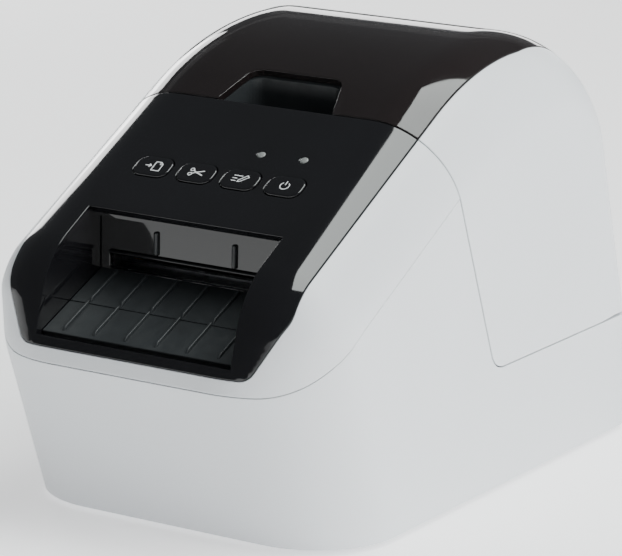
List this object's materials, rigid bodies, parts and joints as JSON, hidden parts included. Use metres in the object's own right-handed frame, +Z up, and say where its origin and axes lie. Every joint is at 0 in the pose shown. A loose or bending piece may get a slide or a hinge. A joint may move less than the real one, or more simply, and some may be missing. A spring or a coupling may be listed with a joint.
{
  "type": "label maker",
  "caption": "Desktop label printer: white casing, glossy black sloping button panel, ribbed label outlet and hinged smoked roll cover.",
  "frame": {"origin": "middle of the standing surface, under the middle of the casing", "axes": "+Z up, the label outlet faces -Y, +X to the right of someone facing the outlet; length along Y"},
  "size_m": [0.1254, 0.213, 0.144],
  "materials": {
    "casing_white": "satin",
    "gloss_black": "gloss",
    "smoked_window": "gloss",
    "dark_plastic": "matte",
    "steel": "satin",
    "brass": "satin",
    "rubber": "matte",
    "circuit_board": "satin",
    "nylon": "satin",
    "lens": "gloss",
    "aluminium": "satin"
  },
  "bodies": {
    "root": {"base_casing": "casing_white", "front_casing": "casing_white", "front_fascia": "gloss_black", "label_tray": "dark_plastic", "outlet_ramp": "dark_plastic", "outlet_guide_bar": "gloss_black", "status_lens": "lens", "editor_lens": "lens", "panel_board": "circuit_board", "panel_switches": "nylon", "panel_leds": "nylon", "rubber_feet": "rubber", "roll_compartment": "dark_plastic", "spool_guide_left": "dark_plastic", "spool_guide_right": "dark_plastic", "side_plate_left": "steel", "side_plate_right": "steel", "platen_bearings": "brass", "inlet_guide": "dark_plastic", "head_pivot_pin": "steel", "spring_beam": "steel", "head_springs": "steel", "cutter_frame": "steel", "fixed_blade": "steel", "cutter_motor": "steel", "feed_motor": "steel", "idler_shaft": "steel", "main_board": "circuit_board", "power_board": "circuit_board", "power_inlet": "dark_plastic", "usb_socket": "steel", "label_sensor": "dark_plastic", "casing_screws": "steel", "board_screws": "steel", "hinge_pins": "steel"},
    "cover": {"cover_shell": "casing_white", "cover_window": "smoked_window", "cover_frame": "dark_plastic"},
    "print_head_unit": {"head_bracket": "steel", "print_head": "aluminium"},
    "feed_key": {"feed_button": "gloss_black"},
    "cut_key": {"cut_button": "gloss_black"},
    "editor_key": {"editor_button": "gloss_black"},
    "power_key": {"power_button": "gloss_black"},
    "platen": {"platen_shaft": "steel", "platen_rubber": "rubber", "platen_gear": "nylon"},
    "idler": {"idler_gear": "nylon"},
    "motor_rotor": {"motor_pinion": "brass"},
    "blade": {"moving_blade": "steel"},
    "cutter_rotor": {"cutter_pinion": "brass"}
  },
  "joints": [
    {"name": "cover_hinge", "type": "hinge", "parent": "root", "child": "cover", "pos_m": [0, 0.1026, 0.0455], "axis": [-1, 0, 0], "range_deg": [0, 78]},
    {"name": "head_lift", "type": "hinge", "parent": "root", "child": "print_head_unit", "pos_m": [0, -0.018, 0.09139], "axis": [-1, 0, 0], "range_deg": [0, 4], "stiffness_Nm_per_rad": 4, "springref_deg": -6.88, "deforming": ["head_springs"]},
    {"name": "feed_press", "type": "slide", "parent": "root", "child": "feed_key", "axis": [0, 0.4879, -0.8729], "range_m": [0, 0.0008], "stiffness_N_per_m": 500},
    {"name": "cut_press", "type": "slide", "parent": "root", "child": "cut_key", "axis": [0, 0.4879, -0.8729], "range_m": [0, 0.0008], "stiffness_N_per_m": 500},
    {"name": "editor_press", "type": "slide", "parent": "root", "child": "editor_key", "axis": [0, 0.4879, -0.8729], "range_m": [0, 0.0008], "stiffness_N_per_m": 500},
    {"name": "power_press", "type": "slide", "parent": "root", "child": "power_key", "axis": [0, 0.4879, -0.8729], "range_m": [0, 0.0008], "stiffness_N_per_m": 500},
    {"name": "platen_turn", "type": "hinge", "parent": "root", "child": "platen", "pos_m": [0, -0.045, 0.07239], "axis": [1, 0, 0], "continuous": true},
    {"name": "idler_turn", "type": "hinge", "parent": "root", "child": "idler", "pos_m": [0, -0.0342, 0.05368], "axis": [1, 0, 0], "continuous": true},
    {"name": "motor_turn", "type": "hinge", "parent": "root", "child": "motor_rotor", "pos_m": [0, -0.03712, 0.03714], "axis": [1, 0, 0], "continuous": true},
    {"name": "cutter_turn", "type": "hinge", "parent": "root", "child": "cutter_rotor", "pos_m": [-0.0478, -0.06, 0.08399], "axis": [0, 1, 0], "range_deg": [0, 53.8]},
    {"name": "blade_slide", "type": "slide", "parent": "root", "child": "blade", "axis": [0, 0, -1], "range_m": [0, 0.0045]}
  ],
  "couplings": [
    {"joint": "idler_turn", "follows": "platen_turn", "ratio": -0.8},
    {"joint": "motor_turn", "follows": "platen_turn", "ratio": 2},
    {"joint": "cutter_turn", "follows": "blade_slide", "rad_per_m": 208.33}
  ]
}
